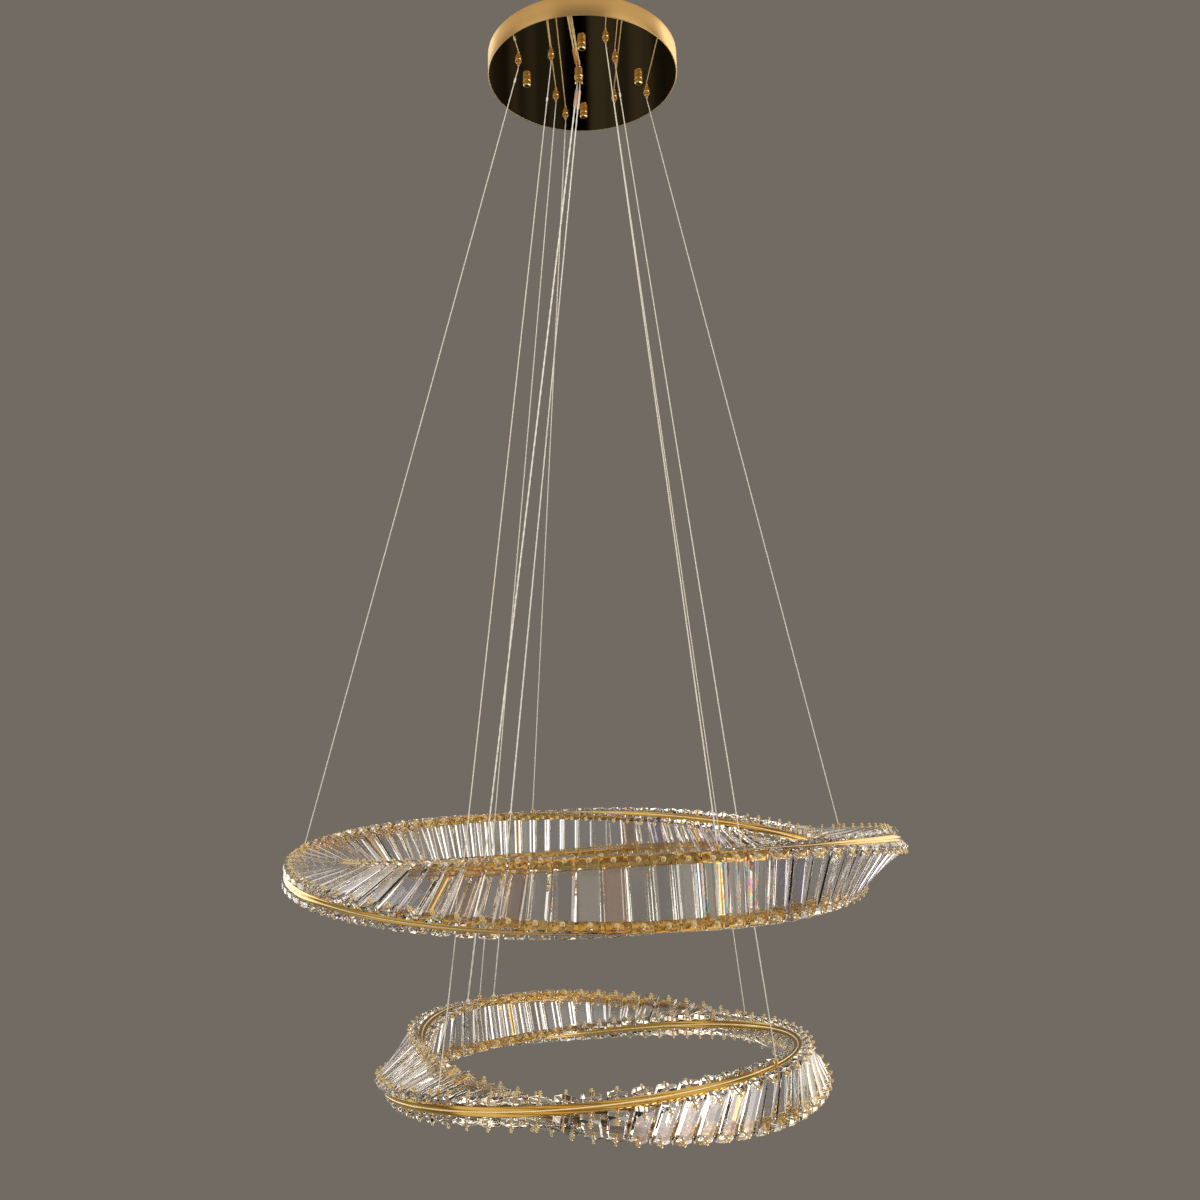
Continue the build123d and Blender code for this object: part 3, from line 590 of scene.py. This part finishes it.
def crystal_unit(half):
    """A cut bar: flat table, bevelled long edges, two facets at each end, fine edge
    chamfers and two pin holes.  x along the bar, z = 0 the back face."""
    l2, w2, t = half + 0.001, CRYSTAL_W / 2, CRYSTAL_T
    planes = [((0, 0, 0), (0, 0, -1)), ((0, 0, t), (0, 0, 1)),
              ((l2, 0, 0), (1, 0, 0)), ((-l2, 0, 0), (-1, 0, 0)),
              ((0, w2, 0), (0, 1, 0)), ((0, -w2, 0), (0, -1, 0))]
    for sy in (1, -1):
        planes.append(((0, sy * w2, t - LONG_DEPTH), (0, sy * LONG_DEPTH, LONG_WIDTH)))
    for sx in (1, -1):
        for sy in (1, -1):
            p = np.array((sx * (l2 - CORNER), sy * w2, t))
            q = np.array((sx * l2, 0, t))
            r = np.array((sx * l2, sy * w2, CORNER_T))
            n = np.cross(q - p, r - p)
            planes.append((tuple(p), tuple(n if n[2] > 0 else -n)))
    verts, faces = solid_from_planes(planes)
    me = bpy.data.meshes.new("crystal_unit")
    me.from_pydata(verts, [], faces)
    bm = bmesh.new()
    bm.from_mesh(me)
    bmesh.ops.recalc_face_normals(bm, faces=bm.faces)
    bmesh.ops.bevel(bm, geom=bm.edges[:], offset=EDGE_CHAMFER, segments=1, profile=0.5,
                    affect="EDGES", clamp_overlap=True)
    bmesh.ops.remove_doubles(bm, verts=bm.verts, dist=1e-6)
    bmesh.ops.recalc_face_normals(bm, faces=bm.faces)
    bm.to_mesh(me)
    bm.free()
    body = bpy.data.objects.new("crystal_unit", me)
    scene.collection.objects.link(body)
    drill_verts, drill_faces = lathe([(0, -0.002), (0.0011, -0.002), (0.0011, 0.0121),
                                      (0, 0.0121)], 14)
    for side in (1, -1):
        dm = bpy.data.meshes.new("drill")
        x = side * (half - PIN_FROM_EDGE)
        dm.from_pydata([(v[0] + x, v[1], v[2]) for v in drill_verts], [], drill_faces)
        db = bmesh.new()
        db.from_mesh(dm)
        bmesh.ops.recalc_face_normals(db, faces=db.faces)
        db.to_mesh(dm)
        db.free()
        tool = bpy.data.objects.new("drill", dm)
        scene.collection.objects.link(tool)
        cut = body.modifiers.new("hole", "BOOLEAN")
        cut.operation = "DIFFERENCE"
        cut.solver = "EXACT"
        cut.object = tool
        bpy.context.view_layer.update()
        done = bpy.data.meshes.new_from_object(
            body.evaluated_get(bpy.context.evaluated_depsgraph_get()))
        body.modifiers.clear()
        body.data = done
        bpy.data.objects.remove(tool)
    verts = [tuple(v.co) for v in body.data.vertices]
    faces = [tuple(p.vertices) for p in body.data.polygons]
    bpy.data.objects.remove(body)
    return verts, faces


def pin_unit():
    """Gilt pin: shank, collar, waisted neck, round tip and a short cross bar."""
    depth = 0.0105
    profile = [(0, -depth), (0.0010, -depth), (0.0010, -0.00005), (0.0029, 0.0),
               (0.0029, 0.00035), (0.0026, 0.0007), (0.0021, 0.0009), (0.00125, 0.0010),
               (0.00115, 0.0016), (0.00115, 0.0038), (0.00145, 0.0043), (0.0015, 0.0047),
               (0.0012, 0.0052), (0.0006, 0.0054), (0, 0.0054)]
    verts, faces = lathe(profile, 16)
    # cross bar, an eight-sided rod with rounded ends
    rod, rod_faces = lathe([(0, -0.0028), (0.0004, -0.0028), (0.0006, -0.0026),
                            (0.0006, 0.0026), (0.0004, 0.0028), (0, 0.0028)], 8)
    shift = len(verts)
    verts = verts + [(v[0], v[2], v[1] + 0.00275) for v in rod]
    faces = faces + [tuple(k + shift for k in reversed(f)) for f in rod_faces]
    return verts, faces


def pad_unit():
    t = CRYSTAL_BACK - RAIL_W / 2
    return lathe([(0.0011, -t - 0.0002), (0.0028, -t - 0.0002), (0.0030, -t + 0.0001),
                  (0.0030, -0.0003), (0.0028, -0.00002), (0.0011, -0.00002),
                  (0.0011, -t - 0.0002)], 20)


GROOVE_HALF, GROOVE_DEEP, CROWN = 0.0007, 0.0005, 0.00016


def rail_profile(ring, side):
    h = ring["half"]
    w, f, g = RAIL_W / 2, RAIL_W / 2 - 0.0012, GROOVE_HALF
    # each half of the outer face is slightly crowned, with a fine round groove between
    mid, reach = (w + g) / 2, (w - g) / 2
    crown = [(h - CROWN * (t / 4) ** 2, mid + reach * t / 4) for t in range(-4, 5)]
    groove = [(h - CROWN - GROOVE_DEEP * math.sqrt(1 - t * t), g * t)
              for t in (-0.85, -0.5, 0, 0.5, 0.85)]
    corner = rounded([(h - CROWN, w - 0.0006), (h - CROWN, w), (h - 0.0014, w)], 0.0006, 3)[4:8]
    outer = ([(d, -n) for d, n in reversed(corner)] + [(d, -n) for d, n in reversed(crown[:-1])]
             + groove + crown[:-1] + corner)
    inner = [(h - 0.011, w), (h - 0.011, f), (h - 0.0015, f), (h - 0.0015, -f), (h - 0.011, -f),
             (h - 0.011, -w)]
    return [(side * d, n) for d, n in outer + inner]


for name, ring in RINGS.items():
    body = name + "_ring"
    h = ring["half"]
    for side, tag in ((1, "a"), (-1, "b")):
        # the groove faces take the paler gold, a painted highlight line along the rail
        rail = swept_ring(f"{name}_rail_skin_{tag}", ring, rail_profile(ring, side), 540,
                          rail_gold, body, groove_highlight_gold,
                          lambda d, n, h=h: abs(n) < GROOVE_HALF
                          and abs(d) > h - CROWN - GROOVE_DEEP - 0.0001)
        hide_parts(f"{name}_rail_{tag}")
    # clear covers of both channels
    for side, tag in ((1, "a"), (-1, "b")):
        pts = [(side * (h - 0.0086), -0.0035), (side * (h - 0.0106), -0.0035),
               (side * (h - 0.0110), -0.0018), (side * (h - 0.0110), 0.0018),
               (side * (h - 0.0106), 0.0035), (side * (h - 0.0086), 0.0035)]
        cover = swept_ring(f"{name}_diffuser_skin_{tag}", ring, rounded(pts, 0.0005, 2), 360,
                           diffuser_clear, body)
        if side == 1:
            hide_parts(f"{name}_diffusers")

    unit, pin, pad = crystal_unit(h), pin_unit(), pad_unit()
    pad_at = []
    for tag, out in (("a", 1), ("b", -1)):
        bars, pins = [], []
        for angle in crystal_angles(ring):
            o, across, face, along = band(ring, angle)
            normal = face * out
            # each bar sits on four soft washers, so no two stand quite alike
            tilt = (Matrix.Rotation(math.radians(rng.uniform(-0.7, 0.7)), 4, "X")
                    @ Matrix.Rotation(math.radians(rng.uniform(-0.25, 0.25)), 4, "Y")
                    @ Matrix.Rotation(math.radians(rng.uniform(-0.2, 0.2)), 4, "Z"))
            bars.append(placed(o + normal * (CRYSTAL_BACK + 0.0002), across, normal) @ tilt)
            for side in (1, -1):
                foot = o + across * (side * (h - PIN_FROM_EDGE))
                turn = rng.uniform(0, math.pi)
                x = across * math.cos(turn) + normal.cross(across) * math.sin(turn)
                pins.append(placed(foot + normal * (CRYSTAL_BACK + CRYSTAL_T + 0.0003),
                                   x, normal))
                pad_at.append(placed(foot + normal * CRYSTAL_BACK, across, normal))
        bars = copies(f"{name}_crystal_bars_{tag}", unit, bars, crystal_glass, body,
                      second=(crystal_bevel, crystal_end), second_faces=bevel_faces(unit))
        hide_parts(f"{name}_crystals_{tag}")
        pins = copies(f"{name}_pins_{tag}", pin, pins, pin_gold, body,
                      True, 50)
        if tag == "a":
            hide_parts(f"{name}_crystal_pins")
    pads = copies(f"{name}_pads", pad, pad_at, clear_rubber, body, True, 40)
    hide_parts(f"{name}_crystal_pads")


# ---------------------------------------------------------------------------
# hanging wires and power cords
# ---------------------------------------------------------------------------
def anchor_knob(ring, anchor):
    angle, side, place = anchor
    if place == 0:
        foot = band_point(ring, angle, side * ring["half"], 0)
        tip = band_point(ring, angle, side * (ring["half"] + 0.001), 0)
        length = 0.0032
    else:
        angle = gap_angle(ring, angle)
        d = side * (ring["half"] - PIN_FROM_EDGE)
        foot = band_point(ring, angle, d, place * (RAIL_W / 2 - 0.0003))
        tip = band_point(ring, angle, d, place * (RAIL_W / 2 + 0.0007))
        length = CRYSTAL_BACK + CRYSTAL_T - RAIL_W / 2 + 0.0028
    return foot + (tip - foot).normalized() * (length + 0.0012)


def cable_line(points):
    """The smooth line of a cable's route, read from its own spline."""
    curve = bpy.data.curves.new("route", "CURVE")
    curve.dimensions = "3D"
    spline = curve.splines.new("NURBS")
    spline.points.add(len(points) - 1)
    for at, p in zip(spline.points, points):
        at.co = (p.x, p.y, p.z, 1)
    spline.order_u = 3
    spline.use_endpoint_u = True
    spline.resolution_u = 400
    obj = bpy.data.objects.new("route", curve)
    scene.collection.objects.link(obj)
    bpy.context.view_layer.update()
    me = bpy.data.meshes.new_from_object(obj)
    line = [v.co.copy() for v in me.vertices]
    bpy.data.objects.remove(obj)
    bpy.data.meshes.remove(me)
    return line


def sections(line, step):
    """Places one step apart along a line that was read from a spline."""
    out, need = [line[0]], step
    for a, b in zip(line, line[1:]):
        length = (b - a).length
        while length > 1e-9 and need <= length:
            out.append(a + (b - a) * (need / length))
            need += step
        need -= length
    if (out[-1] - line[-1]).length < 0.4 * step:
        out.pop()
    out.append(line[-1])
    return out


def stranded(name, points, radius, lobes, pitch, depth, material, per_lobe=2):
    """A laid rope: a lobed section that turns as it goes along its route."""
    n = lobes * per_lobe
    verts, faces = [], []
    side = None
    run = 0.0
    for i, p in enumerate(points):
        a = points[max(i - 1, 0)]
        b = points[min(i + 1, len(points) - 1)]
        t = (b - a).normalized()
        if side is None:
            side = t.cross(Vector((0, 1, 0))).normalized()
        side = (side - t * side.dot(t)).normalized()
        other = t.cross(side)
        if i:
            run += (p - points[i - 1]).length
        spin = 2 * math.pi * run / pitch
        for k in range(n):
            phase = 2 * math.pi * k / n
            r = radius * (1 - depth * (0.5 - 0.5 * math.cos(lobes * phase)))
            verts.append(p + side * (r * math.cos(phase + spin))
                         + other * (r * math.sin(phase + spin)))
    for i in range(len(points) - 1):
        for k in range(n):
            m = (k + 1) % n
            faces.append((i * n + k, i * n + m, (i + 1) * n + m, (i + 1) * n + k))
    faces.append(tuple(range(n - 1, -1, -1)))
    faces.append(tuple((len(points) - 1) * n + k for k in range(n)))
    obj = make_object(name, verts, faces, material, "root", True, None)
    obj.data.set_sharp_from_angle(angle=math.radians(70))
    return obj


def follow_ring(obj):
    """Gives the object its own copy of its mesh."""
    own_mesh(obj)


WHITE_CRIMPS = {("upper", 0): 0.020, ("lower", 0): 0.062, ("lower", 1): 0.050}
for name, exits, anchors in (("upper", UPPER_EXITS, UPPER_ANCHORS),
                             ("lower", LOWER_EXITS, LOWER_ANCHORS)):
    ring = RINGS[name]
    for i, (xy, anchor) in enumerate(zip(exits, anchors)):
        knob = anchor_knob(ring, anchor)
        knee = Vector((*xy, WIRE_KNEE_Z))
        direction = (knob - knee).normalized()
        stop = knob - direction * 0.0021
        line = cable_line([Vector((*xy, -0.021)), knee + Vector((0, 0, 0.0084)), knee,
                           knee + direction * 0.0084, stop])
        points = sections(line, 0.0012)
        wire = stranded(f"{name}_wire_{i + 1}", points, WIRE_R, 6, 0.011, 0.09, steel_wire)
        follow_ring(wire)
        if i == 0:
            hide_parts(f"{name}_wires")
        # short swaged sleeve on some of the wires
        where = WHITE_CRIMPS.get((name, i))
        if where:
            v, f = lathe([(0.0008, -0.003), (0.00125, -0.0029), (0.00135, -0.0024),
                          (0.00135, 0.0024), (0.00125, 0.0029), (0.0008, 0.003),
                          (0.0008, -0.003)], 18)
            m = placed(knee + direction * where, direction.cross(Vector((0, 1, 0))), direction)
            crimp = copies(f"{name}_crimp_{i + 1}", (v, f), [m], steel_wire, "root",
                           True, 40)
            follow_ring(crimp)

for name, inlet, key, radius in (("upper", UPPER_INLETS[0], "third", THIN),
                                 ("lower", LOWER_INLETS[0], "thick", THICK),
                                 ("lower", LOWER_INLETS[1], "second", THIN)):
    ring = RINGS[name]
    angle, side, _ = inlet
    foot = band_point(ring, angle, side * ring["half"], 0)
    tip = band_point(ring, angle, side * (ring["half"] + 0.001), 0)
    end = foot + (tip - foot).normalized() * 0.004
    start = GLAND + CORD_OFFSETS[key]
    knee = Vector((start.x, start.y, CORD_KNEE_Z))
    direction = (end - knee).normalized()
    stop = end - direction * 0.0001
    line = cable_line([Vector((start.x, start.y, -0.0225)), knee + Vector((0, 0, 0.0100)), knee,
                       knee + direction * 0.0100, stop])
    points = sections(line, 0.004)
    cord = stranded(f"{name}_cord_{key}", points, radius, 2, 0.030, 0.30, clear_cord,
                    per_lobe=9)
    follow_ring(cord)
    if key != "second":
        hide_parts("upper_power_cord" if key == "third" else "lower_power_cords")
        v, f = lathe([(radius + 0.00005, 0.0), (radius + 0.0007, 0.0002),
                      (radius + 0.0010, 0.0010), (radius + 0.0010, 0.0120),
                      (radius + 0.00095, 0.0150), (radius + 0.0010, 0.0180),
                      (radius + 0.0010, 0.0250), (radius + 0.0007, 0.0258),
                      (radius + 0.00005, 0.0260), (radius + 0.00005, 0.0)], 24)
        m = placed(knee + direction * 0.0043, direction.cross(Vector((0, 1, 0))), direction)
        sleeve = copies(f"{name}_sleeve", (v, f), [m],
                        rose_sleeve if key == "thick" else pale_sleeve, "root",
                        True, 40)
        follow_ring(sleeve)
        if key == "thick":
            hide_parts("cord_sleeves")

# ---------------------------------------------------------------------------
# canopy rim: a smooth turned skin
# ---------------------------------------------------------------------------
R = 0.1393


def turned(name, profile, segments, material, body, smooth_angle=35):
    verts, faces = lathe(profile, segments)
    uvs = []
    for f in faces:
        az = [math.atan2(verts[k][1], verts[k][0]) for k in f]
        if max(az) - min(az) > math.pi:
            az = [a + 2 * math.pi if a < 0 else a for a in az]
        for k, a in zip(f, az):
            uvs.append((a * R, verts[k][2] + math.hypot(verts[k][0], verts[k][1])))
    obj = make_object(name, verts, faces, material, body, True, uvs)
    outward(obj)
    obj.data.set_sharp_from_angle(angle=math.radians(smooth_angle))
    return obj


rim_profile = [(R - 0.0015, 0.0), (R - 0.0003, 0.0), (R, -0.0003), (R, -0.0293),
               (R - 0.0002, -0.0297), (R - 0.0006, -0.0300), (R - 0.0013, -0.0300),
               (R - 0.0015, -0.0298), (R - 0.0015, -0.0285), (R - 0.0090, -0.0285),
               (R - 0.0090, -0.0273), (R - 0.0015, -0.0273), (R - 0.0015, 0.0)]
rim = turned("canopy_rim_skin", rim_profile, 288, satin_gold, "root")
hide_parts("canopy_rim")

# ---------------------------------------------------------------------------
# stage: pale floor, plain backdrop, soft light
# ---------------------------------------------------------------------------
def floor_disc(radius, z, rings=24, segments=96):
    verts, faces = [(0, 0, z)], []
    for i in range(1, rings + 1):
        r = radius * i / rings
        verts += [(r * math.cos(2 * math.pi * k / segments),
                   r * math.sin(2 * math.pi * k / segments), z) for k in range(segments)]
    for k in range(segments):
        faces.append((0, 1 + k, 1 + (k + 1) % segments))
    for i in range(1, rings):
        a, b = 1 + (i - 1) * segments, 1 + i * segments
        for k in range(segments):
            m = (k + 1) % segments
            faces.append((a + k, b + k, b + m, a + m))
    me = bpy.data.meshes.new("floor")
    me.from_pydata(verts, [], faces)
    obj = bpy.data.objects.new("floor", me)
    scene.collection.objects.link(obj)
    m, nt, b = new_material("floor_plain")
    flat = coords(nt, "Object")
    nt.links.new(ramp(nt, noise(nt, flat, 3.0, 5.0), [(0.3, (0.60, 0.58, 0.55)),
                                                      (0.7, (0.66, 0.64, 0.61))]),
                 b.inputs["Base Color"])
    b.inputs["Roughness"].default_value = 0.8
    me.materials.append(m)
    return obj


floor = floor_disc(2.2, -2.5)
floor.visible_glossy = False
floor.visible_transmission = False

world = bpy.data.worlds.new("studio")
scene.world = world
world.use_nodes = True
wt = world.node_tree
wt.nodes.clear()


def wmath(op, a, b=None, clamp=False):
    n = wt.nodes.new("ShaderNodeMath")
    n.operation = op
    n.use_clamp = clamp
    for socket, value in zip(n.inputs, (a, b)):
        if value is None:
            continue
        if isinstance(value, (int, float)):
            socket.default_value = value
        else:
            wt.links.new(value, socket)
    return n.outputs[0]


def edge(value, at, soft):
    """0 below a place and 1 above it, over a soft width."""
    n = wt.nodes.new("ShaderNodeMapRange")
    n.interpolation_type = "SMOOTHSTEP"
    n.inputs["From Min"].default_value = at - soft / 2
    n.inputs["From Max"].default_value = at + soft / 2
    wt.links.new(value, n.inputs["Value"])
    return n.outputs["Result"]


tc = wt.nodes.new("ShaderNodeTexCoord")
unit_dir = wt.nodes.new("ShaderNodeVectorMath")
unit_dir.operation = "NORMALIZE"
wt.links.new(tc.outputs["Generated"], unit_dir.inputs[0])
split = wt.nodes.new("ShaderNodeSeparateXYZ")
wt.links.new(unit_dir.outputs[0], split.inputs[0])
azimuth = wmath("MULTIPLY", wmath("ARCTAN2", split.outputs["X"], split.outputs["Y"]),
                180 / math.pi)
side_az = wmath("ABSOLUTE", azimuth)
elevation = wmath("MULTIPLY", wmath("ARCSINE", split.outputs["Z"]), 180 / math.pi)


def panel(az, el, soft, colour, strength, angle=None):
    """A soft rectangular light panel in the studio's surroundings."""
    turn = azimuth if angle is None else angle
    m = wmath("MULTIPLY", edge(turn, az[0], soft), wmath("SUBTRACT", 1.0, edge(turn, az[1], soft)))
    n = wmath("MULTIPLY", edge(elevation, el[0], soft),
              wmath("SUBTRACT", 1.0, edge(elevation, el[1], soft)))
    return wmath("MULTIPLY", m, n), tuple(c * strength for c in colour)


# azimuth 0 lies behind the object, 180 at the camera, positive to the right
PANELS = [
    panel((-45, 200), (50, 120), 14, (1.0, 0.98, 0.95), 0.54),             # ceiling
    panel((-200, -45), (50, 120), 14, (1.0, 0.98, 0.95), 0.22),            # ceiling, left
    panel((26, 76), (-14, 36), 8, (1.0, 0.93, 0.80), 1.3),                 # behind, right
    panel((-60, -24), (25, 46), 8, (1.0, 0.95, 0.84), 1.3),                # behind, left, high
    panel((-76, -22), (-17, 2), 7, (1.0, 0.98, 0.95), 1.9),               # behind, left
    panel((60, 200), (22, 39), 7, (1.0, 0.82, 0.58), 0.50, side_az),       # band above the camera
    panel((104, 150), (-16, 16), 8, (1.0, 0.86, 0.66), 0.80),              # beside the camera
    panel((-150, -104), (-16, 16), 8, (1.0, 0.90, 0.74), 0.60),
    panel((-200, 200), (-100, -24), 10, (1.0, 0.96, 0.90), 0.12),          # floor
    panel((14, 100), (-74, -38), 8, (1.0, 0.95, 0.94), 2.9),               # low, right
    panel((-135, -60), (-66, -36), 12, (1.0, 0.97, 0.93), 0.30),           # low, left
]
total = None
for mask, colour in PANELS:
    scaled = wt.nodes.new("ShaderNodeVectorMath")
    scaled.operation = "SCALE"
    scaled.inputs[0].default_value = colour
    wt.links.new(mask, scaled.inputs["Scale"])
    if total is None:
        total = scaled.outputs[0]
    else:
        add = wt.nodes.new("ShaderNodeVectorMath")
        add.operation = "ADD"
        wt.links.new(total, add.inputs[0])
        wt.links.new(scaled.outputs[0], add.inputs[1])
        total = add.outputs[0]
# the plain wall; low down straight behind the object it is dark with faint upright streaks
room_tone = wt.nodes.new("ShaderNodeMix")
room_tone.data_type = "RGBA"
room_tone.inputs[6].default_value = (0.172, 0.158, 0.140, 1)
room_tone.inputs[7].default_value = (0.200, 0.152, 0.096, 1)
wt.links.new(wmath("MULTIPLY", edge(side_az, 78, 36), edge(elevation, 8, 20)),
             room_tone.inputs["Factor"])
wall = wt.nodes.new("ShaderNodeVectorMath")
wall.operation = "ADD"
wt.links.new(room_tone.outputs[2], wall.inputs[0])
wt.links.new(total, wall.inputs[1])
streaks = wt.nodes.new("ShaderNodeTexNoise")
streaks.noise_dimensions = "1D"
streaks.inputs["Scale"].default_value = 0.55
streaks.inputs["Detail"].default_value = 2.0
wt.links.new(azimuth, streaks.inputs["W"])
low = wmath("MULTIPLY", wmath("SUBTRACT", 1.0, edge(elevation, -25, 4)), edge(elevation, -44, 6))
dark = wmath("MULTIPLY", low, wmath("SUBTRACT", 1.0, edge(side_az, 16, 8)))
kept = wmath("MULTIPLY", edge(streaks.outputs["Fac"], 0.5, 0.3), 0.14)
level = wmath("ADD", wmath("SUBTRACT", 1.0, dark), wmath("MULTIPLY", dark, kept))
surround = wt.nodes.new("ShaderNodeVectorMath")
surround.operation = "SCALE"
wt.links.new(wall.outputs[0], surround.inputs[0])
wt.links.new(level, surround.inputs["Scale"])

plain = wt.nodes.new("ShaderNodeBackground")
plain.inputs["Color"].default_value = (0.165, 0.147, 0.124, 1)
room = wt.nodes.new("ShaderNodeBackground")
wt.links.new(surround.outputs[0], room.inputs["Color"])
path = wt.nodes.new("ShaderNodeLightPath")
mix = wt.nodes.new("ShaderNodeMixShader")
wt.links.new(path.outputs["Is Camera Ray"], mix.inputs["Fac"])
wt.links.new(room.outputs[0], mix.inputs[1])
wt.links.new(plain.outputs[0], mix.inputs[2])
out = wt.nodes.new("ShaderNodeOutputWorld")
wt.links.new(mix.outputs[0], out.inputs["Surface"])


def softbox(name, at, to, size, power, colour=(1, 1, 1)):
    data = bpy.data.lights.new(name, "AREA")
    data.shape = "RECTANGLE"
    data.size, data.size_y = size
    data.energy = power
    data.color = colour
    obj = bpy.data.objects.new(name, data)
    scene.collection.objects.link(obj)
    at, to = Vector(at), Vector(to)
    obj.matrix_world = (Matrix.Translation(at)
                        @ (to - at).to_track_quat("-Z", "Y").to_matrix().to_4x4())
    obj.visible_camera = False
    obj.visible_glossy = False
    obj.visible_transmission = False
    return obj


softbox("key", (-2.0, -1.9, 0.5), (0, 0, -1.2), (1.0, 1.0), 55, (1.0, 0.98, 0.95))
softbox("fill", (2.3, -1.3, -0.3), (0, 0, -1.1), (0.6, 1.6), 40, (1.0, 0.93, 0.84))
softbox("rim", (-2.1, 2.0, 0.2), (0, 0, -1.2), (0.8, 1.4), 45, (0.98, 0.99, 1.0))

scene.view_settings.view_transform = "Standard"
scene.view_settings.look = "None"
scene.view_settings.exposure = 0.0
scene.cycles.max_bounces = 24
scene.cycles.transmission_bounces = 20
scene.cycles.glossy_bounces = 8
scene.cycles.diffuse_bounces = 3
scene.cycles.transparent_max_bounces = 16
scene.cycles.caustics_reflective = True
scene.cycles.caustics_refractive = True
scene.cycles.blur_glossy = 0.5
scene.cycles.sample_clamp_indirect = 6.0
scene.cycles.use_denoising = True
